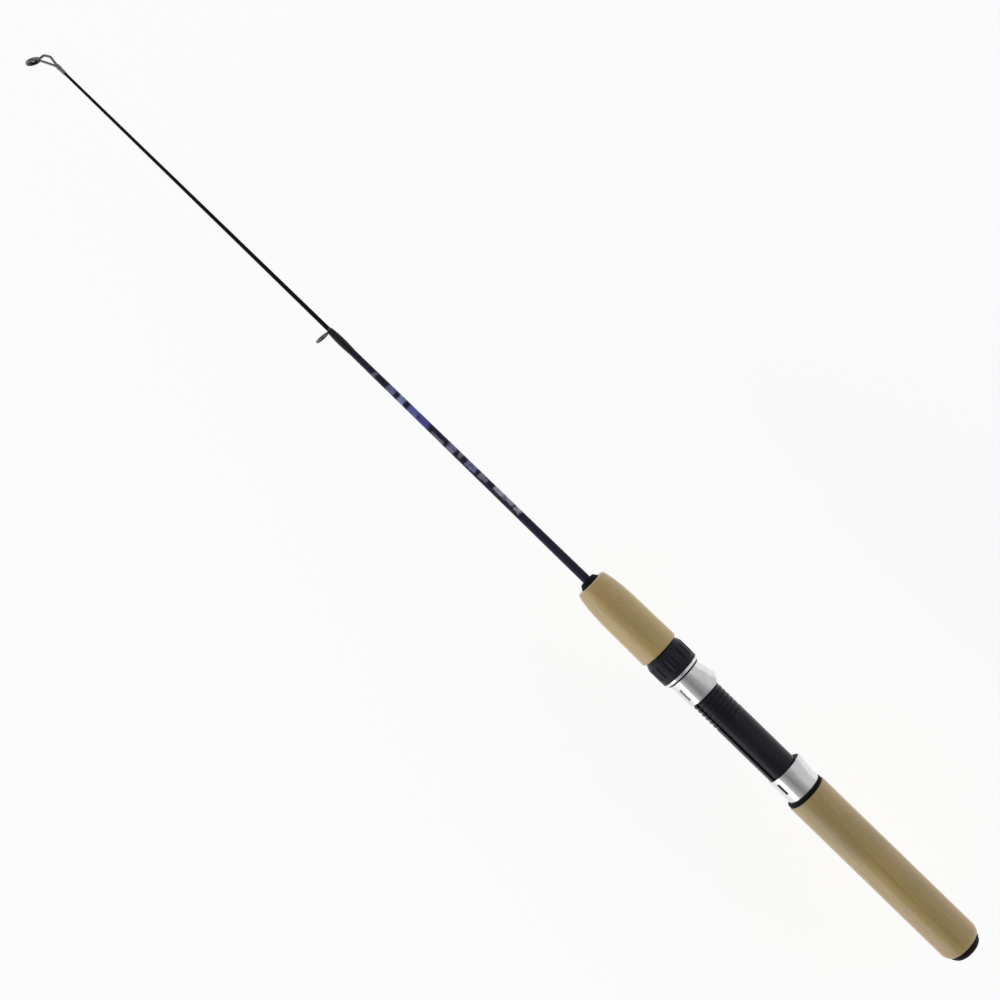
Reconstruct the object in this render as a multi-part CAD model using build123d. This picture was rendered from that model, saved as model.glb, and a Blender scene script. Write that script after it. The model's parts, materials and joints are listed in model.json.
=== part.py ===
from build123d import *
import os

# Two-section telescopic ice fishing rod: a thin solid tip that slides into a hollow lower blank, wooden
# grips, and a screw-lock reel seat between them. Millimetres. The origin is the centre of the butt cap's
# end face. +X runs along the rod to the tip, the line guides stand out on +Y, the reel-foot pockets open
# on -Y and +Z is up.

# ---- places along the rod, measured from the butt end ----
cap_front = 4.3
grip_front = 106.1
rear_ring_front = 108.1
rear_hood_mouth = 122.1
thread_rear = 157.0
sliding_hood_mouth = 173.5
sliding_hood_front = 186.6
nut_collar_front = 187.8
nut_rear = 189.2
nut_front = 202.0
foregrip_rear = 202.6
foregrip_front = 247.8
check_front = 250.2
wrap_rear = 404.8
wrap_front = 419.3
lower_blank_front = 415.2
collar_front = 419.6
tip_tube_rear = 592.7
tip_tube_front = 598.2
tip_ring_x = 607.6

# ---- handle and reel seat ----
grip_radius = 10.6
grip_end_radius = 9.7
grip_end_length = 3.2
foregrip_rear_radius = 10.5
foregrip_front_radius = 8.1
cap_radius = 9.4
cap_flat_radius = 6.0
cap_shoulder_x = 0.8
cap_shoulder_radius = 7.6
cap_spigot_radius = 4.0
cap_spigot_depth = 11.0
barrel_radius = 8.1
barrel_bore_radius = 6.2
rear_ring_radius = 10.2
arbor_length = 25.0
grip_chamfer = 0.4
foregrip_nose_length = 20.0
foregrip_nose_radius = 10.25
check_rear_radius = 5.2
check_front_radius = 3.8
check_land = 0.5

# ---- hoods, key and pockets ----
hood_bore_radius = 8.2
hood_wall = 0.55
roof_wall = 0.8
rear_roof_mouth = 11.1
rear_roof_back = 9.75
rear_roof_step = 4.3
rear_roof_bend = 1.8
rear_roof_cut = 0.5
sliding_roof_mouth = 10.7
sliding_roof_cut = 3.6
mouth_foot = 0.4
flange_radius = 9.2
flange_thickness = 0.6
flange_setback = 1.15
key_angle = 50.0
key_width = 1.9
key_slot_width = 2.3
key_length = 7.2
rear_slot_width = 1.9
rear_slot_length = 6.4
key_sink = 0.7
key_depth = 1.3
key_ramp = 0.9
key_root = 0.3
key_heel = 0.2
keyway_width = 2.3
keyway_depth = 0.9

# ---- locking nut and thread ----
nut_radius = 10.5
nut_nose_radius = 9.2
nut_nose_length = 2.7
nut_collar_radius = 9.45
nut_collar_bore = 8.9
nut_pocket_radius = 9.35
nut_pocket_depth = 1.9
nut_bore_gap = 0.1
nut_rim_width = 2.2
nut_first_turn = 14
nut_thread_turns = 3.4
flute_count = 16
flute_radius = 2.0
flute_depth = 0.65
flute_phase = 0.31
thread_pitch = 2.5
thread_depth = 0.4
thread_mean_radius = 7.7
thread_root_width = 0.9
thread_flank_rate = 0.5
thread_gap = 0.17
thread_crest_gap = 0.1
thread_overcut = 0.4
thread_embed = 0.25
nut_travel_turns = 11

# ---- blanks ----
lower_blank_rear = 76.0
lower_blank_front_radius = 1.61
lower_blank_taper = 0.0037
lower_bore_front_radius = 1.2
lower_bore_taper = 0.0031
tip_blank_rear = 397.0
tip_lock_front = 409.0
tip_lock_gap = 0.02
tip_neck_x = 415.0
tip_neck_radius = 1.13
tip_end_radius = 0.68
blank_plug_length = 6.0

# ---- gaps between fixed pieces ----
glue_line = 0.05
slip_gap = 0.02
press_gap = 0.01

# ---- guides ----
collar_length = 10.1
collar_outer_radius = 1.8
collar_nose_radius = 1.4
collar_bore_gap = 0.08
wrap_radius = 1.97
wrap_edge = 0.04
wrap_notch_length = 1.5
wrap_notch_floor = 1.3
wrap_notch_width = 2.4
guide_foot_radius = 1.45
guide_ring_radius = 3.65
guide_ring_width = 1.0
guide_ring_wall = 0.85
guide_ring_sink = 0.12
guide_ring_edge = 0.15
guide_lean = 5.0
tip_tube_radius = 0.97
tip_ring_offset = 6.4
tip_ring_radius = 3.7
tip_ring_lean = 24.0
tip_ring_width = 1.2
tip_ring_wall = 0.5
tip_insert_bore_radius = 1.7
tip_insert_lip = 0.42
tip_insert_overhang = 0.1
tip_wire_radius = 0.6
tip_band_radius = 1.14
tip_band_length = 2.2


def lower_blank_radius(x):
    """Outer radius of the lower blank."""
    return lower_blank_front_radius + lower_blank_taper * (lower_blank_front - x)


def lower_bore_radius(x):
    """Inner radius of the lower blank."""
    return lower_bore_front_radius + lower_bore_taper * (lower_blank_front - x)


def collar_radius(x):
    """Outer radius of the guide collar: plain over the blank, then coned down to its front edge."""
    share = max(0, (x - lower_blank_front) / (collar_front - lower_blank_front))
    return collar_outer_radius - share * (collar_outer_radius - collar_nose_radius)


def turned(points, rounds=()):
    """A solid turned about X. Points are (x, radius); rounds pairs a point's number with a corner radius."""
    profile = make_face(Polyline(*points, close=True))
    for number, radius in rounds:
        corner = profile.vertices().sort_by_distance(Vector(*points[number], 0))[0]
        profile = fillet(corner, radius)
    return revolve(profile, Axis.X)


def around_blank(x_rear, x_front):
    """The lower blank's outside with a glue line, as the cutter for every part bored to fit over it."""
    return turned([
        (x_rear, 0),
        (x_front, 0),
        (x_front, lower_blank_radius(x_front) + glue_line),
        (x_rear, lower_blank_radius(x_rear) + glue_line),
    ])


def rod_along(path, radius):
    """A round rod along a path."""
    return sweep(Plane(path @ 0, z_dir=path % 0) * Circle(radius), path)


def at_key_angle(shape):
    """Turn a shape that was made on +Z about the rod, to the side where the key runs."""
    return Rot(-key_angle, 0, 0) * shape


# ---- blanks ----
def make_tip_blank():
    lock_rear = lower_bore_radius(tip_blank_rear) - tip_lock_gap
    lock_front = lower_bore_radius(tip_lock_front) - tip_lock_gap
    tip_end = tip_tube_front - 0.5
    return turned([
        (tip_blank_rear, 0),
        (tip_end, 0),
        (tip_end, tip_end_radius),
        (tip_neck_x, tip_neck_radius),
        (tip_lock_front, lock_front),
        (tip_blank_rear, lock_rear),
    ], [(5, 0.3)])


def make_lower_blank():
    return turned([
        (lower_blank_rear, lower_bore_radius(lower_blank_rear)),
        (lower_blank_front, lower_bore_radius(lower_blank_front)),
        (lower_blank_front, lower_blank_radius(lower_blank_front)),
        (lower_blank_rear, lower_blank_radius(lower_blank_rear)),
    ])


def make_blank_plug():
    plug_front = lower_blank_rear + blank_plug_length
    return turned([
        (lower_blank_rear, 0),
        (plug_front, 0),
        (plug_front, lower_bore_radius(plug_front) - glue_line),
        (lower_blank_rear, lower_bore_radius(lower_blank_rear) - glue_line),
    ], [(2, 0.5)])


# ---- guides ----
def make_guide_collar():
    """Steel tube on the lower blank's front end, coned down around the tip section."""
    rear = collar_front - collar_length
    bore = lower_blank_radius(rear) + slip_gap
    nose_bore = lower_bore_front_radius + collar_bore_gap
    return turned([
        (rear, bore),
        (lower_blank_front, bore),
        (lower_blank_front, nose_bore),
        (collar_front, nose_bore),
        (collar_front, collar_nose_radius),
        (lower_blank_front, collar_outer_radius),
        (rear, collar_outer_radius),
    ])


def make_guide_ring():
    """A plain line ring with a flat land in its bore, leaning towards the tip on the collar's nose."""
    inner = guide_ring_radius - guide_ring_wall
    half = guide_ring_width / 2
    ring = turned([
        (-half, inner),
        (half, inner),
        (half, guide_ring_radius),
        (-half, guide_ring_radius),
    ], [(0, guide_ring_edge), (1, guide_ring_edge), (2, 0.35), (3, 0.35)])
    offset = guide_foot_radius + guide_ring_radius - guide_ring_sink
    placed = Pos(collar_front - half, offset, 0) * Rot(0, 0, -guide_lean) * ring
    nose = turned([
        (lower_blank_front, 0),
        (collar_front, 0),
        (collar_front, collar_nose_radius),
        (lower_blank_front, collar_outer_radius),
    ])
    return placed - nose


def make_ferrule_wrap():
    """Wrap over the collar, fullest in its middle and open on +Y where the ring stands on the nose."""
    collar_rear = collar_front - collar_length
    over_blank = lower_blank_radius(wrap_rear) + slip_gap
    over_collar = collar_outer_radius + press_gap
    over_nose = collar_radius(wrap_front) + press_gap
    swell = Spline(
        (wrap_front, over_nose + wrap_edge),
        (lower_blank_front + 0.4, over_collar + wrap_edge),
        ((wrap_rear + wrap_front) / 2, wrap_radius),
        (wrap_rear, over_blank + wrap_edge),
    )
    outline = swell + Polyline(
        (wrap_rear, over_blank + wrap_edge),
        (wrap_rear, over_blank),
        (collar_rear, over_blank),
        (collar_rear, over_collar),
        (lower_blank_front, over_collar),
        (wrap_front, over_nose),
        (wrap_front, over_nose + wrap_edge),
    )
    above_floor = (Align.CENTER, Align.MIN, Align.CENTER)
    foot_room = Box(2 * wrap_notch_length, 1, wrap_notch_width, align=above_floor)
    return revolve(make_face(outline), Axis.X) - Pos(collar_front, wrap_notch_floor, 0) * foot_room


def tip_ring_place():
    """The tip ring's centre and tilt: its plane leans towards the tip, away from the rod."""
    return Pos(tip_ring_x, tip_ring_offset, 0) * Rot(0, 0, -tip_ring_lean)


def make_tip_tube():
    taper = (tip_neck_radius - tip_end_radius) / (tip_tube_front - tip_neck_x)
    bore = tip_end_radius + slip_gap + taper * (tip_tube_front - tip_tube_rear)
    return turned([
        (tip_tube_rear, bore),
        (tip_tube_front, bore),
        (tip_tube_front, tip_tube_radius),
        (tip_tube_rear, tip_tube_radius),
    ], [(2, 0.08), (3, 0.08)])


def make_tip_frame():
    """Crimp band, two struts in one plane and the ring band, brazed into one piece."""
    band_rear = tip_tube_front - tip_band_length
    band_bore = tip_tube_radius + press_gap
    band = turned([
        (band_rear, band_bore),
        (tip_tube_front, band_bore),
        (tip_tube_front, 0),
        (tip_tube_front + 0.5, 0),
        (tip_tube_front + 0.5, 0.8),
        (tip_tube_front, tip_band_radius),
        (band_rear, tip_band_radius),
    ], [(6, 0.15)])
    upper = FilletPolyline(
        (tip_tube_front + 0.2, -0.15, 0),
        (tip_ring_x - 4.3, -0.85, 0),
        (tip_ring_x - 1.6, 0.8, 0),
        (tip_ring_x - 1.25, 2.9, 0),
        radius=0.9,
    )
    lower = Spline(
        (tip_tube_front - 0.1, 0.35, 0),
        (tip_ring_x - 5.6, 2.1, 0),
        (tip_ring_x - 1.9, 3.95, 0),
    )
    inner = tip_ring_radius - tip_ring_wall
    half = tip_ring_width / 2
    ring = turned([
        (-half, inner),
        (half, inner),
        (half, tip_ring_radius),
        (-half, tip_ring_radius),
    ], [(2, 0.3), (3, 0.3)])
    struts = rod_along(upper, tip_wire_radius) + rod_along(lower, tip_wire_radius)
    ring_bore = tip_ring_place() * Rot(0, 90, 0) * Cylinder(inner, 4)
    tube_room = Pos(tip_tube_front - 2, 0, 0) * Rot(0, 90, 0) * Cylinder(band_bore, 4)
    return band + (struts - ring_bore - tube_room) + tip_ring_place() * ring


def make_tip_insert():
    """Hard ring with a rounded bore for the line, pressed into the ring band."""
    outer = tip_ring_radius - tip_ring_wall - press_gap
    half = tip_ring_width / 2 + tip_insert_overhang
    return tip_ring_place() * turned([
        (-half, tip_insert_bore_radius),
        (half, tip_insert_bore_radius),
        (half, outer),
        (-half, outer),
    ], [(0, tip_insert_lip), (1, tip_insert_lip), (2, 0.2), (3, 0.2)])


# ---- handle ----
def make_butt_cap():
    spigot_front = cap_front + cap_spigot_depth
    shoulder = Spline(
        (0, cap_flat_radius),
        (cap_shoulder_x, cap_shoulder_radius),
        (cap_front, cap_radius),
        tangents=((0, 1), (1, 0.42)),
    )
    outline = shoulder + Polyline(
        (cap_front, cap_radius),
        (cap_front, cap_spigot_radius),
        (spigot_front, cap_spigot_radius),
        (spigot_front, 0),
        (0, 0),
        (0, cap_flat_radius),
    )
    return revolve(make_face(outline), Axis.X)


def make_rear_grip():
    """Straight cylinder with a rounded butt end, a socket for the cap's spigot and a bore for the blank."""
    end = TangentArc(
        (cap_front + grip_end_length, grip_radius),
        (cap_front, grip_end_radius),
        tangent=(-1, 0),
    )
    outline = end + Polyline(
        (cap_front + grip_end_length, grip_radius),
        (grip_front - grip_chamfer, grip_radius),
        (grip_front, grip_radius - grip_chamfer),
        (grip_front, 0),
        (cap_front, 0),
        (cap_front, grip_end_radius),
    )
    body = revolve(make_face(outline), Axis.X)
    socket_front = cap_front + cap_spigot_depth + 0.5
    socket_radius = cap_spigot_radius + glue_line
    socket = turned([
        (cap_front, 0),
        (socket_front, 0),
        (socket_front, socket_radius),
        (cap_front, socket_radius),
    ])
    return body - socket - around_blank(lower_blank_rear, grip_front)


def make_foregrip():
    """Wooden foregrip that swells from the winding check to the locking nut."""
    nose = Spline(
        (foregrip_front - 0.5, foregrip_front_radius),
        (foregrip_front - 7.2, 9.45),
        (foregrip_front - foregrip_nose_length, foregrip_nose_radius),
        tangents=((-1, 0.34), (-1, 0.012)),
    )
    outline = nose + Polyline(
        (foregrip_front - foregrip_nose_length, foregrip_nose_radius),
        (foregrip_rear + grip_chamfer, foregrip_rear_radius),
        (foregrip_rear, foregrip_rear_radius - grip_chamfer),
        (foregrip_rear, 0),
        (foregrip_front, 0),
        (foregrip_front, foregrip_front_radius - 0.5),
        (foregrip_front - 0.5, foregrip_front_radius),
    )
    return revolve(make_face(outline), Axis.X) - around_blank(foregrip_rear, foregrip_front)


def make_winding_check():
    """Short cone in front of the foregrip."""
    cone = turned([
        (foregrip_front, 0),
        (check_front, 0),
        (check_front, check_front_radius),
        (foregrip_front + check_land, check_rear_radius),
        (foregrip_front, check_rear_radius),
    ], [(2, 0.4), (3, 0.4)])
    return cone - around_blank(foregrip_front, check_front)


def make_arbor(x_rear, x_front):
    """Bush that centres the blank in the seat barrel."""
    outer = barrel_bore_radius - glue_line
    solid = turned([(x_rear, 0), (x_front, 0), (x_front, outer), (x_rear, outer)])
    return solid - around_blank(x_rear, x_front)


# ---- reel seat ----
def helical_rib(x_start, turns, profile):
    """Sweep a (radius, axial) profile along a right-handed helix about X; x_start sets its phase."""
    path = Helix(pitch=thread_pitch, height=turns * thread_pitch, radius=thread_mean_radius)
    section = Plane(path @ 0, x_dir=(1, 0, 0), z_dir=path % 0) * make_face(
        Polyline(*[(radius - thread_mean_radius, axial) for radius, axial in profile], close=True)
    )
    return Pos(x_start, 0, 0) * Rot(0, 90, 0) * sweep(section, path, is_frenet=True)


def make_barrel():
    """Seat barrel with its thread groove cut from the front end and a keyway along its whole length."""
    length = foregrip_rear - grip_front
    middle = Pos((grip_front + foregrip_rear) / 2, 0, 0)
    tube = Cylinder(barrel_radius, length) - Cylinder(barrel_bore_radius, length)
    tube = middle * Rot(0, 90, 0) * tube
    root = barrel_radius - thread_depth
    top = barrel_radius + thread_overcut
    half_root = thread_root_width / 2
    half_top = half_root + thread_flank_rate * (top - root)
    turns = (foregrip_rear + thread_pitch - thread_rear) / thread_pitch
    groove = helical_rib(thread_rear, turns, [
        (root, -half_root),
        (top, -half_top),
        (top, half_top),
        (root, half_root),
    ])
    keyway = middle * Pos(0, 0, barrel_radius) * Box(length + 2, keyway_width, 2 * keyway_depth)
    return tube - groove - at_key_angle(keyway)


def make_locking_nut():
    """Fluted nut: coned nose, internal thread rib and a rear pocket that holds the hood's flange."""
    bore = barrel_radius + nut_bore_gap
    pocket_front = nut_rear + nut_pocket_depth
    body = turned([
        (nut_rear, nut_pocket_radius),
        (pocket_front, nut_pocket_radius),
        (pocket_front, bore),
        (nut_front, bore),
        (nut_front, nut_nose_radius),
        (nut_front - nut_nose_length, nut_radius),
        (nut_rear, nut_radius),
    ], [(4, 0.2), (5, 2.0), (6, 0.2)])
    flute_rear = nut_rear + nut_rim_width
    flute_front = nut_front - nut_nose_length + 0.4
    flute = turned([
        (flute_rear, 0),
        (flute_front, 0),
        (flute_front, flute_radius),
        (flute_rear, flute_radius),
    ], [(2, flute_radius * 0.8), (3, flute_radius * 0.8)])
    centre = nut_radius + flute_radius - flute_depth
    for number in range(flute_count):
        body -= Rot((number + flute_phase) * 360 / flute_count, 0, 0) * Pos(0, centre, 0) * flute
    tip = barrel_radius - thread_depth + thread_crest_gap
    embedded = bore + thread_embed
    half_tip = thread_root_width / 2 + thread_flank_rate * thread_crest_gap - thread_gap
    half_embedded = half_tip + thread_flank_rate * (embedded - tip)
    rib = helical_rib(thread_rear + nut_first_turn * thread_pitch, nut_thread_turns, [
        (tip, -half_tip),
        (embedded, -half_embedded),
        (embedded, half_embedded),
        (tip, half_tip),
    ])
    return body + rib


def make_nut_trim_ring():
    """Bright ring between the nut and its rear collar."""
    seat = nut_pocket_radius - glue_line + press_gap
    return turned([
        (nut_collar_front, seat),
        (nut_rear, seat),
        (nut_rear, nut_radius - 0.05),
        (nut_collar_front, nut_radius - 0.2),
    ], [(3, 0.45)])


def make_nut_collar():
    """Rear collar pressed into the nut, which keeps the hood's flange in the nut's pocket."""
    tube_radius = nut_pocket_radius - glue_line
    tube_front = nut_rear + 0.9
    rear = sliding_hood_front + 0.2
    return turned([
        (rear, nut_collar_bore),
        (tube_front, nut_collar_bore),
        (tube_front, tube_radius),
        (nut_collar_front, tube_radius),
        (nut_collar_front, nut_collar_radius),
        (rear, nut_collar_radius),
    ], [(5, 0.3)])


def pocket_body(side_radius, stations):
    """A solid that is round on +Y and bulges to a roof on -Y. Stations are (x, roof height)."""
    sections = []
    for x, roof in stations:
        plain_half = CenterArc((0, 0), side_radius, -90, 180)
        pocket_half = EllipticalCenterArc((0, 0), roof, side_radius, 90, arc_size=180)
        plane = Plane(origin=(x, 0, 0), x_dir=(0, 1, 0), z_dir=(1, 0, 0))
        sections.append(plane * make_face(plain_half + pocket_half))
    return loft(sections, ruled=True)


def slanted_mouth(x_edge, x_roof, roof):
    """Cutter that slopes a pocket's mouth, from its edge beside the barrel to the top of its roof."""
    outward = 1 if x_edge > x_roof else -1
    foot = mouth_foot - hood_bore_radius
    outline = Polyline(
        (x_edge + outward, foot),
        (x_edge, foot),
        (x_roof, -roof),
        (x_roof, -roof - 5),
        (x_edge + outward, -roof - 5),
        close=True,
    )
    return extrude(make_face(outline), 12, both=True)


def key_slot(x_centre, length, width):
    """Opening in a hood's wall over the keyway."""
    opening = Pos(x_centre, 0, hood_bore_radius) * Box(length, width, 3)
    return at_key_angle(opening)


def key_strip(x_centre):
    """Strip of the hood pressed down into the barrel's keyway, joined to the wall at both ends."""
    top = hood_bore_radius + hood_wall
    face = top - key_sink
    underside = top - key_depth
    rear = x_centre - key_length / 2
    front = x_centre + key_length / 2
    side = Polyline(
        (rear - key_root, top),
        (rear, top),
        (rear + key_ramp, face),
        (front - key_ramp, face),
        (front, top),
        (front + key_root, top),
        (front + key_root, hood_bore_radius),
        (front - key_heel, hood_bore_radius),
        (front - key_ramp, underside),
        (rear + key_ramp, underside),
        (rear + key_heel, hood_bore_radius),
        (rear - key_root, hood_bore_radius),
        close=True,
    )
    section = Plane.XZ * make_face(side)
    return at_key_angle(extrude(section, key_width / 2, both=True))


def make_sliding_hood():
    """Hood that the nut drives: its pocket opens towards the butt and its front flange sits in the nut."""
    outer_radius = hood_bore_radius + hood_wall
    pocket_back = sliding_hood_front - 0.4
    roof_front = sliding_hood_mouth + sliding_roof_cut
    rise = (sliding_roof_mouth - outer_radius) / (pocket_back - roof_front)
    roof_at_mouth = sliding_roof_mouth + rise * sliding_roof_cut
    flange_rear = nut_rear + flange_setback
    flange_front = flange_rear + flange_thickness
    outside = turned([
        (pocket_back, 0),
        (flange_front, 0),
        (flange_front, flange_radius),
        (flange_rear, flange_radius),
        (flange_rear, outer_radius),
        (pocket_back, outer_radius),
    ])
    outside += pocket_body(outer_radius, [
        (sliding_hood_mouth, roof_at_mouth),
        (pocket_back, outer_radius),
    ])
    inside = turned([
        (pocket_back, 0),
        (flange_front, 0),
        (flange_front, hood_bore_radius),
        (pocket_back, hood_bore_radius),
    ])
    inside += pocket_body(hood_bore_radius, [
        (sliding_hood_mouth, roof_at_mouth - roof_wall),
        (pocket_back, hood_bore_radius),
    ])
    mouth = slanted_mouth(sliding_hood_mouth, roof_front, sliding_roof_mouth)
    key_x = (sliding_hood_mouth + sliding_hood_front) / 2 - 0.3
    opened = outside - inside - mouth - key_slot(key_x, key_length, key_slot_width)
    return opened + key_strip(key_x)


def make_rear_hood():
    """Fixed hood: its pocket is tallest at the mouth, which faces the tip."""
    step = rear_ring_front + rear_roof_step
    slope = (rear_roof_mouth - rear_roof_back) / (rear_hood_mouth - step)
    solids = []
    for side, wall in ((hood_bore_radius + hood_wall, 0), (barrel_radius + slip_gap, roof_wall)):
        roof = rear_roof_back - wall
        solids.append(pocket_body(side, [
            (rear_ring_front, roof),
            (step - rear_roof_bend, roof),
            (step, roof + slope * rear_roof_bend / 4),
            (step + rear_roof_bend, roof + slope * rear_roof_bend),
            (rear_hood_mouth, rear_roof_mouth - wall),
        ]))
    mouth = slanted_mouth(rear_hood_mouth, rear_hood_mouth - rear_roof_cut, rear_roof_mouth)
    slot_x = (rear_ring_front + rear_hood_mouth) / 2 + 1.5
    return solids[0] - solids[1] - mouth - key_slot(slot_x, rear_slot_length, rear_slot_width)


def make_rear_trim_ring():
    bore = barrel_radius + slip_gap
    return turned([
        (grip_front, bore),
        (rear_ring_front, bore),
        (rear_ring_front, rear_ring_radius),
        (grip_front, rear_ring_radius),
    ], [(2, 0.6), (3, 0.3)])


nodes = {
    "tip_blank": make_tip_blank(),
    "tip_top_tube": make_tip_tube(),
    "tip_top_frame": make_tip_frame(),
    "tip_top_insert": make_tip_insert(),
    "lower_blank": make_lower_blank(),
    "blank_end_plug": make_blank_plug(),
    "guide_collar": make_guide_collar(),
    "guide_ring": make_guide_ring(),
    "ferrule_wrap": make_ferrule_wrap(),
    "winding_check": make_winding_check(),
    "foregrip": make_foregrip(),
    "front_arbor": make_arbor(foregrip_rear - arbor_length, foregrip_rear),
    "rear_arbor": make_arbor(grip_front, grip_front + arbor_length),
    "reel_seat_barrel": make_barrel(),
    "locking_nut": make_locking_nut(),
    "nut_trim_ring": make_nut_trim_ring(),
    "nut_collar": make_nut_collar(),
    "sliding_hood": make_sliding_hood(),
    "rear_hood": make_rear_hood(),
    "rear_trim_ring": make_rear_trim_ring(),
    "rear_grip": make_rear_grip(),
    "butt_cap": make_butt_cap(),
}

os.makedirs("parts", exist_ok=True)
for name, shape in nodes.items():
    export_step(shape, f"parts/{name}.step")

print("hood travel at the stop:", round(nut_travel_turns * thread_pitch, 2), "mm")
print("tip travel at the stop:", round(tip_tube_rear - collar_front, 2), "mm")
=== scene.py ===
import json
import math

import bpy
from mathutils import Matrix, Vector


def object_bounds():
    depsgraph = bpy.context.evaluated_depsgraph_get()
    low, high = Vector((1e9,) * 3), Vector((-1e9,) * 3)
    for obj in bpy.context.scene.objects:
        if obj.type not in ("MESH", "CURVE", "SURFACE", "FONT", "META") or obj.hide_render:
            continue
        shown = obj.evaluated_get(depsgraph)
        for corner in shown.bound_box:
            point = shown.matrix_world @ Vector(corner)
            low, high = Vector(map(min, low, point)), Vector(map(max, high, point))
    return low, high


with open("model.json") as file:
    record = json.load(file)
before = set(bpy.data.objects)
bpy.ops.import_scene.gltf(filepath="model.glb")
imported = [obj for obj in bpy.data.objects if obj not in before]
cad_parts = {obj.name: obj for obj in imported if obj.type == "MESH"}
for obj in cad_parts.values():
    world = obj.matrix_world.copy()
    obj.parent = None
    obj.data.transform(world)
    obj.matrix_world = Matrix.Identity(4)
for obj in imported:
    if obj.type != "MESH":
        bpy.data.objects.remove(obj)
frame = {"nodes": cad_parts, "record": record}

cad_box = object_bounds()

# Ice fishing rod: butt at the origin, tip towards +X, line guides on +Y, reel-foot pockets on -Y, +Z up.
MM = 0.001

# ---- camera, floor and light ----
# The camera is above the rod's middle, but for a small offset, and looks straight down. IMAGE_RIGHT is the
# direction that points right in its picture.
CAMERA_HEIGHT = 0.707
CAMERA_LENS = 54.0
CAMERA_SENSOR = 36.0
CAMERA_OFFSET = Vector((0.001, 0.0015, 0.0))
IMAGE_RIGHT = Vector((-0.71767, -0.69635, 0.0))

FLOOR_DROP = 0.060
FLOOR_SIZE = 40.0
FLOOR_WHITE = 0.82
FLOOR_ROUGHNESS = 0.9
FLOOR_GLOW = 0.515

# The softbox's place is measured from the rod's middle.
SOFTBOX_PLACE = Vector((-0.1, 3.7, 1.1))
SOFTBOX_SIZE = (5.6, 1.9)
SOFTBOX_POWER = 36.0

# Strength of the studio's white light by the Y or Z of the direction that it comes from: where the change
# starts and ends, and the strength before and after it. STUDIO_TOP is a factor on the sum of the others.
STUDIO_SIDES = (-0.3, 0.1, 0.66, 0.44)
STUDIO_PATCH = (0.68, 0.94, 0.0, 0.40)
STUDIO_TOP = (0.78, 0.95, 1.0, 0.55)

# ---- surfaces ----
# Most of a noise's values lie in this span.
NOISE_SPAN = (0.3, 0.7)

RING_WIDTH = 2.3 * MM
RING_WARP = 3.2
LATE_WOOD_START = 0.35
LATE_WOOD_SHARE = 0.4
FIBRE_RELIEF = 0.5
WOOD_BUMP = 0.04 * MM

PLASTIC_BUMP = 0.02 * MM
METAL_BUMP = 0.006 * MM
LACQUER_BUMP = 0.02 * MM

# How far a mark's outline strays along the rod and about it (radians), how soft its edges are, and the
# share of its colour that is left where it is most worn.
MARK_TEAR_ALONG = 2.2 * MM
MARK_TEAR_AROUND = 0.9
MARK_END_EDGE = 0.5 * MM
MARK_SIDE_EDGE = 0.2
MARK_LEAST_INK = 0.4

WHITE = (1.0, 1.0, 1.0, 1.0)


def rgb(red, green, blue):
    """A colour given as 0-255 sRGB, in linear light."""
    linear = []
    for value in (red, green, blue):
        part = value / 255
        linear.append(part / 12.92 if part <= 0.04045 else ((part + 0.055) / 1.055) ** 2.4)
    return (*linear, 1.0)


def shade(colour, factor, lift=0.0):
    """The colour made darker or lighter."""
    return (*(channel * factor + lift for channel in colour[:3]), 1.0)


WOOD_PALE = rgb(186, 153, 58)
WOOD_TAN = rgb(158, 133, 54)
WOOD_BLUSH = rgb(192, 142, 72)
WOOD_RING = rgb(150, 118, 48)
WOOD_FIBRE = rgb(140, 110, 50)
WOOD_PORE = rgb(92, 68, 36)
WOOD_LIFT = rgb(222, 190, 104)

# Marks printed on the lower blank: start and end along the rod (mm), middle and half-width of the angle
# about the rod (degrees from +Z towards +Y), and colour.
BLANK_MARKS = [
    (388.2, 390.2, 10, 40, rgb(120, 122, 138)),
    (376.4, 381.0, 20, 85, rgb(116, 120, 162)),
    (369.8, 373.8, -5, 80, rgb(136, 146, 198)),
    (361.0, 367.2, 10, 95, rgb(108, 110, 182)),
    (353.6, 360.8, 25, 85, rgb(92, 88, 172)),
    (343.4, 351.4, 55, 42, rgb(118, 118, 132)),
    (336.8, 341.4, 0, 85, rgb(132, 128, 162)),
    (332.6, 334.8, -25, 50, rgb(136, 136, 156)),
    (323.4, 329.6, -30, 62, rgb(130, 128, 172)),
    (316.4, 321.4, -20, 42, rgb(130, 128, 150)),
    (306.0, 311.8, -45, 48, rgb(172, 168, 190)),
    (299.4, 305.8, -48, 45, rgb(160, 156, 178)),
    (294.6, 298.6, -35, 50, rgb(182, 178, 196)),
]


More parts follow.
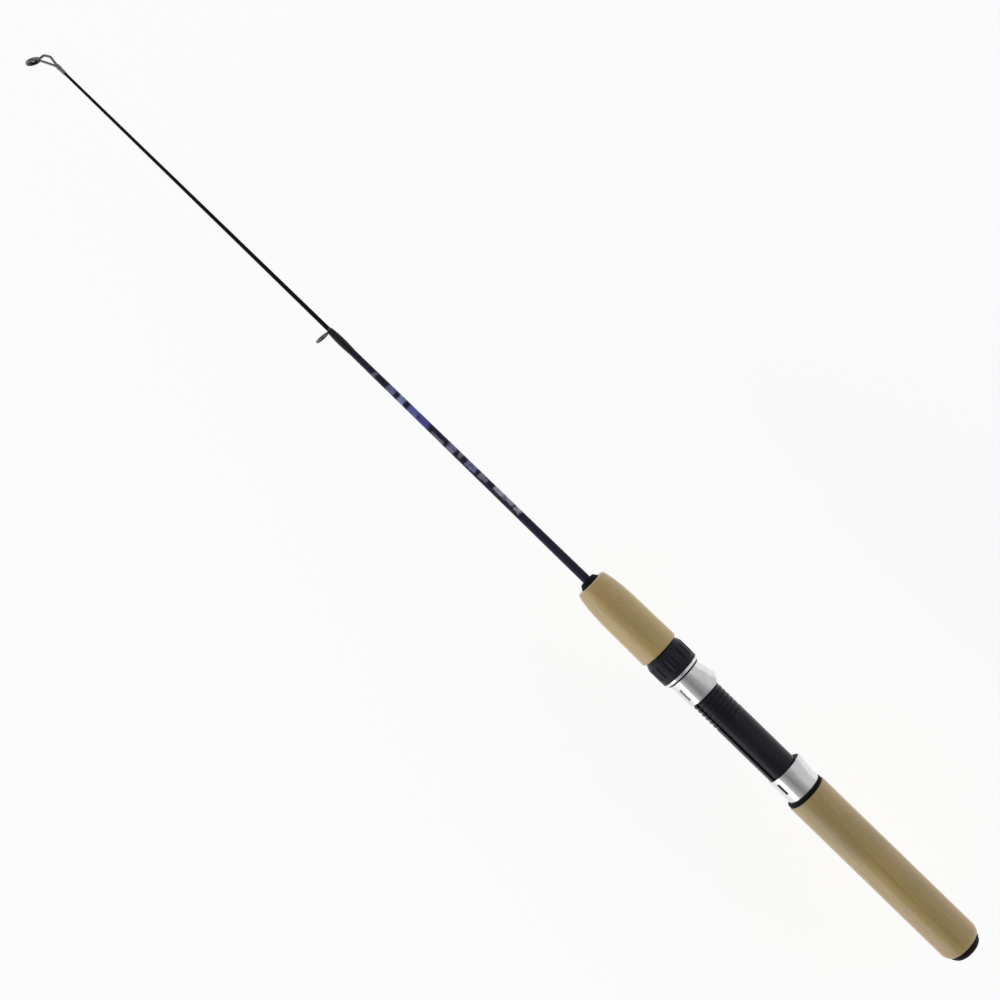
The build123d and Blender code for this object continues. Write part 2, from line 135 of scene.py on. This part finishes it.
# ---- node trees ----
class Nodes:
    """One node tree, with short calls for the nodes that the materials use."""

    def __init__(self, tree):
        self.tree = tree

    def feed(self, socket, value):
        if isinstance(value, bpy.types.NodeSocket):
            self.tree.links.new(value, socket)
        else:
            socket.default_value = value

    def add(self, kind, inputs=None, **settings):
        node = self.tree.nodes.new("ShaderNode" + kind)
        for name, value in settings.items():
            setattr(node, name, value)
        for key, value in (inputs or {}).items():
            self.feed(node.inputs[key], value)
        return node

    def math(self, operation, *values):
        node = self.add("Math", operation=operation)
        for number, value in enumerate(values):
            self.feed(node.inputs[number], value)
        return node.outputs[0]

    def place(self):
        """The point in the object's own coordinates, which are the rod's."""
        return self.add("TexCoord").outputs["Object"]

    def parts_of(self, vector):
        return self.add("SeparateXYZ", {"Vector": vector}).outputs

    def noise(self, point, per_metre, detail, roughness=0.5):
        """Noise with about per_metre lumps to the metre: one number, or one each for X, Y and Z."""
        scale = per_metre
        if isinstance(per_metre, tuple):
            point = self.add("Mapping", {"Vector": point, "Scale": per_metre}).outputs[0]
            scale = 1.0
        inputs = {"Vector": point, "Scale": scale, "Detail": detail, "Roughness": roughness}
        return self.add("TexNoise", inputs).outputs["Fac"]

    def range(self, value, low, high, to_low=0.0, to_high=1.0, smooth=False):
        node = self.add("MapRange", interpolation_type="SMOOTHSTEP" if smooth else "LINEAR")
        for name, number in (("Value", value), ("From Min", low), ("From Max", high),
                             ("To Min", to_low), ("To Max", to_high)):
            self.feed(node.inputs[name], number)
        return node.outputs["Result"]

    def step(self, value, edge, softness, before, after):
        """One number before the edge and another after it, with a soft change between them."""
        return self.range(value, edge - softness, edge + softness, before, after, smooth=True)

    def mix(self, factor, first, second):
        node = self.add("Mix", data_type="RGBA")
        self.feed(node.inputs[0], factor)
        self.feed(node.inputs[6], first)
        self.feed(node.inputs[7], second)
        return node.outputs[2]

    def tint(self, base, colour, noise, low, high, most=1.0):
        """The base, with a share of the colour that grows to most as the noise goes from low to high."""
        return self.mix(self.range(noise, low, high, 0.0, most), base, colour)

    def bump(self, height, distance, strength):
        inputs = {"Height": height, "Distance": distance, "Strength": strength}
        return self.add("Bump", inputs).outputs[0]

    def faces_inwards(self, point):
        """1 on faces that look towards the rod's axis, 0 on the others."""
        normal = self.parts_of(self.add("TexCoord").outputs["Normal"])
        parts = self.parts_of(point)
        outward = self.math("ADD", self.math("MULTIPLY", parts["Y"], normal["Y"]),
                            self.math("MULTIPLY", parts["Z"], normal["Z"]))
        return self.range(outward, -1 * MM, 0.0, to_low=1.0, to_high=0.0)

    def angle_about_rod(self, point):
        """0 at +Z, positive towards +Y, in radians."""
        parts = self.parts_of(point)
        return self.math("ARCTAN2", parts["Y"], parts["Z"])


def new_material(name, **shader_values):
    """A material and its nodes; shader_values are set on the shader's own sockets."""
    material = bpy.data.materials.new(name)
    material.use_nodes = True
    shader = material.node_tree.nodes["Principled BSDF"]
    for socket, value in shader_values.items():
        shader.inputs[socket.replace("_", " ")].default_value = value
    return material, Nodes(material.node_tree), shader


# ---- materials ----
def wood(name, pith, seed, lift):
    """Pale varnished wood: growth rings about a pith line beside the rod, fibre streaks and short pores.
    pith is the line's Y and Z, seed moves the pattern, and lift is the share of WOOD_LIFT mixed in."""
    material, n, shader = new_material(
        name, Coat_Weight=1.0, Coat_Roughness=0.5, Coat_IOR=2.0, IOR=1.4, Sheen_Weight=1.0,
        Sheen_Roughness=0.22)
    point = n.place()
    shifted = n.add("VectorMath", {0: point, 1: (seed, 0, 0)}, operation="ADD").outputs[0]
    warp = n.noise(shifted, per_metre=(9, 90, 90), detail=2)
    fibres = n.noise(shifted, per_metre=(45, 1500, 1500), detail=4, roughness=0.6)
    drift = n.noise(shifted, per_metre=(22, 70, 70), detail=3)
    pores = n.noise(shifted, per_metre=(420, 4200, 4200), detail=1)
    blush = n.noise(shifted, per_metre=(30, 150, 150), detail=2)

    parts = n.parts_of(point)
    from_pith_y = n.math("SUBTRACT", parts["Y"], pith[0])
    from_pith_z = n.math("SUBTRACT", parts["Z"], pith[1])
    radius = n.math("SQRT", n.math("ADD", n.math("MULTIPLY", from_pith_y, from_pith_y),
                                   n.math("MULTIPLY", from_pith_z, from_pith_z)))
    rings = n.math("ADD", n.math("DIVIDE", radius, RING_WIDTH), n.math("MULTIPLY", warp, RING_WARP))
    late_wood = n.range(n.math("FRACT", rings), LATE_WOOD_START, 1.0, smooth=True)

    drifting = n.tint(WOOD_PALE, WOOD_TAN, drift, *NOISE_SPAN)
    blushing = n.tint(drifting, WOOD_BLUSH, blush, 0.5, 0.7, most=0.8)
    ringed = n.mix(n.math("MULTIPLY", late_wood, LATE_WOOD_SHARE), blushing, WOOD_RING)
    streaked = n.tint(ringed, WOOD_FIBRE, fibres, 0.42, 0.7, most=0.5)
    pitted = n.tint(streaked, WOOD_PORE, pores, 0.64, 0.72, most=0.55)
    relief = n.math("SUBTRACT", n.math("MULTIPLY", fibres, FIBRE_RELIEF), n.range(pores, 0.62, 0.76))
    n.feed(shader.inputs["Base Color"], n.mix(lift, pitted, WOOD_LIFT))
    n.feed(shader.inputs["Roughness"], n.range(fibres, *NOISE_SPAN, to_low=0.42, to_high=0.56))
    n.feed(shader.inputs["Normal"], n.bump(relief, WOOD_BUMP, strength=0.6))
    return material


def satin_plastic(name, colour, roughness, ior=1.12):
    """Moulded black plastic or rubber with a fine eroded texture and handling scuffs."""
    material, n, shader = new_material(name, IOR=ior)
    point = n.place()
    grain = n.noise(point, per_metre=5200, detail=2)
    cloud = n.noise(point, per_metre=(60, 160, 160), detail=3)
    scuffs = n.noise(point, per_metre=(260, 1800, 1800), detail=2)
    lighter = shade(colour, 1.5, lift=0.003)
    clouded = n.tint(colour, lighter, cloud, *NOISE_SPAN, most=0.55)
    n.feed(shader.inputs["Base Color"], n.tint(clouded, lighter, scuffs, 0.64, 0.76, most=0.3))
    n.feed(shader.inputs["Roughness"],
           n.range(cloud, *NOISE_SPAN, to_low=roughness - 0.06, to_high=roughness + 0.08))
    n.feed(shader.inputs["Normal"], n.bump(grain, PLASTIC_BUMP, strength=0.5))
    return material


def metal(name, colour, roughness, lines_per_metre, painted_reflection_colour=None):
    """Bright metal with fine drawing lines and a little cloudiness. The inside colour, when given, is a
    painted
    reflection: the faces that look towards the rod's axis are made matt and not metal in it, so the inside
    of a hood's pocket shows pale."""
    material, n, shader = new_material(name, Metallic=1.0)
    point = n.place()
    lines = n.noise(point, lines_per_metre, detail=3, roughness=0.6)
    cloud = n.noise(point, per_metre=350, detail=2)
    surface = n.tint(colour, shade(colour, 0.8), cloud, 0.45, 0.75, most=0.5)
    # Painted reflection: the faces that look towards the axis turn matt and not metal, in a pale colour.
    if painted_reflection_colour:
        inside = n.faces_inwards(point)
        surface = n.mix(inside, surface, painted_reflection_colour)
        n.feed(shader.inputs["Metallic"], n.math("SUBTRACT", 1.0, inside))
    n.feed(shader.inputs["Base Color"], surface)
    n.feed(shader.inputs["Roughness"],
           n.range(lines, *NOISE_SPAN, to_low=roughness * 0.75, to_high=roughness * 1.35))
    n.feed(shader.inputs["Normal"], n.bump(lines, METAL_BUMP, strength=0.35))
    return material


def printed_blank(name, marks, dark, light):
    """Lacquer clouded from dark to light, with soft-edged marks printed on it."""
    material, n, shader = new_material(name, IOR=1.18)
    point = n.place()
    wobble = n.noise(point, per_metre=(500, 900, 900), detail=3)
    clouds = n.noise(point, per_metre=(60, 300, 300), detail=2)
    worn = n.noise(point, per_metre=(420, 620, 620), detail=2)
    ripple = n.noise(point, per_metre=(260, 700, 700), detail=2)

    tear = n.math("SUBTRACT", wobble, 0.5)
    along = n.math("ADD", n.parts_of(point)["X"], n.math("MULTIPLY", tear, MARK_TEAR_ALONG))
    turned = n.math("ADD", n.angle_about_rod(point), n.math("MULTIPLY", tear, MARK_TEAR_AROUND))
    ink = n.range(worn, 0.34, 0.54, to_low=MARK_LEAST_INK)
    tone = n.mix(clouds, dark, light)
    for start, end, middle, half_width, colour in marks:
        away = n.math("ABSOLUTE", n.math("SUBTRACT", turned, math.radians(middle)))
        rises = n.step(along, start * MM, MARK_END_EDGE, 0.0, 1.0)
        falls = n.step(along, end * MM, MARK_END_EDGE, 1.0, 0.0)
        side = n.step(away, math.radians(half_width), MARK_SIDE_EDGE, 1.0, 0.0)
        cover = n.math("MULTIPLY", n.math("MULTIPLY", rises, falls), n.math("MULTIPLY", side, ink))
        tone = n.mix(cover, tone, colour)
    n.feed(shader.inputs["Base Color"], tone)
    n.feed(shader.inputs["Roughness"], n.range(wobble, *NOISE_SPAN, to_low=0.3, to_high=0.42))
    n.feed(shader.inputs["Normal"], n.bump(ripple, LACQUER_BUMP, strength=0.3))
    return material


# The key is a slot's name in the record, or the name that OWN_MATERIALS gives.
materials = {
    "grip_wood": wood("rear_grip_wood", pith=(0.021, -0.026), seed=0.0, lift=0.0),
    "foregrip_wood": wood("foregrip_wood", pith=(-0.024, -0.019), seed=0.37, lift=0.2),
    "blank_black": printed_blank("lower_blank_lacquer", BLANK_MARKS, rgb(34, 34, 52), rgb(48, 48, 70)),
    "tip_black": printed_blank("tip_blank_lacquer", [], rgb(12, 12, 16), rgb(20, 20, 26)),
    "seat_black": satin_plastic("seat_nylon", rgb(25, 25, 33), roughness=0.24, ior=1.3),
    "nut_black": satin_plastic("nut_nylon", rgb(29, 29, 38), roughness=0.28, ior=1.26),
    "rubber_black": satin_plastic("black_rubber", rgb(20, 20, 22), roughness=0.5),
    "wrap_black": satin_plastic("wrap_epoxy", rgb(34, 32, 40), roughness=0.25, ior=1.25),
    # The hoods' inward faces are painted matt near-white, a painted reflection for the inside of the
    # pockets.
    "hood_metal": metal("hood_chrome", rgb(230, 231, 232), roughness=0.22,
                        lines_per_metre=(90, 2600, 2600), painted_reflection_colour=rgb(236, 236, 238)),
    "trim_chrome": metal("trim_chrome", rgb(236, 238, 240), roughness=0.12,
                         lines_per_metre=(2600, 200, 200)),
    "guide_steel": metal("guide_steel", rgb(126, 126, 128), roughness=0.34,
                         lines_per_metre=(400, 3000, 3000)),
    "ring_steel": metal("ring_steel", rgb(104, 104, 104), roughness=0.4,
                        lines_per_metre=(400, 3000, 3000)),
    "guide_ceramic": satin_plastic("ring_ceramic", rgb(24, 24, 26), roughness=0.2),
    "arbor_plastic": satin_plastic("arbor_plastic", rgb(150, 140, 120), roughness=0.5),
}
# Nodes whose surface differs a little from the other nodes of the same slot.
OWN_MATERIALS = {
    "tip_blank": "tip_black",
    "foregrip": "foregrip_wood",
    "locking_nut": "nut_black",
    "nut_collar": "nut_black",
    "guide_ring": "ring_steel",
}
for subpart in frame["record"]["subparts"]:
    node, slot = subpart["node"], subpart["material_slot"]
    shown = frame["nodes"][node]
    shown.data.materials.clear()
    shown.data.materials.append(materials[OWN_MATERIALS.get(node, slot)])


# ---- stage ----
rod_middle = Vector(((cad_box[0].x + cad_box[1].x) / 2, 0, 0))


def make_floor():
    mesh = bpy.data.meshes.new("floor")
    half = FLOOR_SIZE / 2
    height = cad_box[0].z - FLOOR_DROP
    corners = [(x, y, height) for x, y in ((-half, -half), (half, -half), (half, half), (-half, half))]
    mesh.from_pydata(corners, [], [(0, 1, 2, 3)])
    floor = bpy.data.objects.new("floor", mesh)
    bpy.context.scene.collection.objects.link(floor)
    material, _, _ = new_material(
        "floor_white", Base_Color=(FLOOR_WHITE, FLOOR_WHITE, FLOOR_WHITE, 1.0),
        Roughness=FLOOR_ROUGHNESS, Emission_Color=WHITE, Emission_Strength=FLOOR_GLOW)
    mesh.materials.append(material)


def make_world():
    """A white studio: pale on -Y, darker on +Y apart from a bright patch round the +Y axis, and dim
    straight above."""
    world = bpy.data.worlds.new("studio")
    world.use_nodes = True
    bpy.context.scene.world = world
    n = Nodes(world.node_tree)
    direction = n.parts_of(n.add("TexCoord").outputs["Generated"])
    sides = n.range(direction["Y"], *STUDIO_SIDES, smooth=True)
    patch = n.range(direction["Y"], *STUDIO_PATCH, smooth=True)
    top = n.range(direction["Z"], *STUDIO_TOP, smooth=True)
    background = world.node_tree.nodes["Background"]
    n.feed(background.inputs["Strength"], n.math("MULTIPLY", n.math("ADD", sides, patch), top))
    n.feed(background.inputs["Color"], WHITE)


def make_softbox():
    light = bpy.data.lights.new("softbox", "AREA")
    light.shape = "RECTANGLE"
    light.size, light.size_y = SOFTBOX_SIZE
    light.energy = SOFTBOX_POWER
    lamp = bpy.data.objects.new("softbox", light)
    bpy.context.scene.collection.objects.link(lamp)
    lamp.location = rod_middle + SOFTBOX_PLACE
    lamp.rotation_mode = "QUATERNION"
    lamp.rotation_quaternion = (rod_middle - lamp.location).to_track_quat("-Z", "Y")


def make_camera():
    camera = bpy.data.objects.new("camera", bpy.data.cameras.new("camera"))
    bpy.context.scene.collection.objects.link(camera)
    camera.data.lens = CAMERA_LENS
    camera.data.sensor_width = CAMERA_SENSOR
    back = Vector((0, 0, 1))
    right = IMAGE_RIGHT.normalized()
    up = back.cross(right)
    place = rod_middle + CAMERA_HEIGHT * back + CAMERA_OFFSET
    rotation = Matrix((right, up, back)).transposed().to_4x4()
    camera.matrix_world = Matrix.Translation(place) @ rotation
    bpy.context.scene.camera = camera


make_floor()
make_world()
make_softbox()
make_camera()
bpy.context.scene.view_settings.view_transform = "Standard"
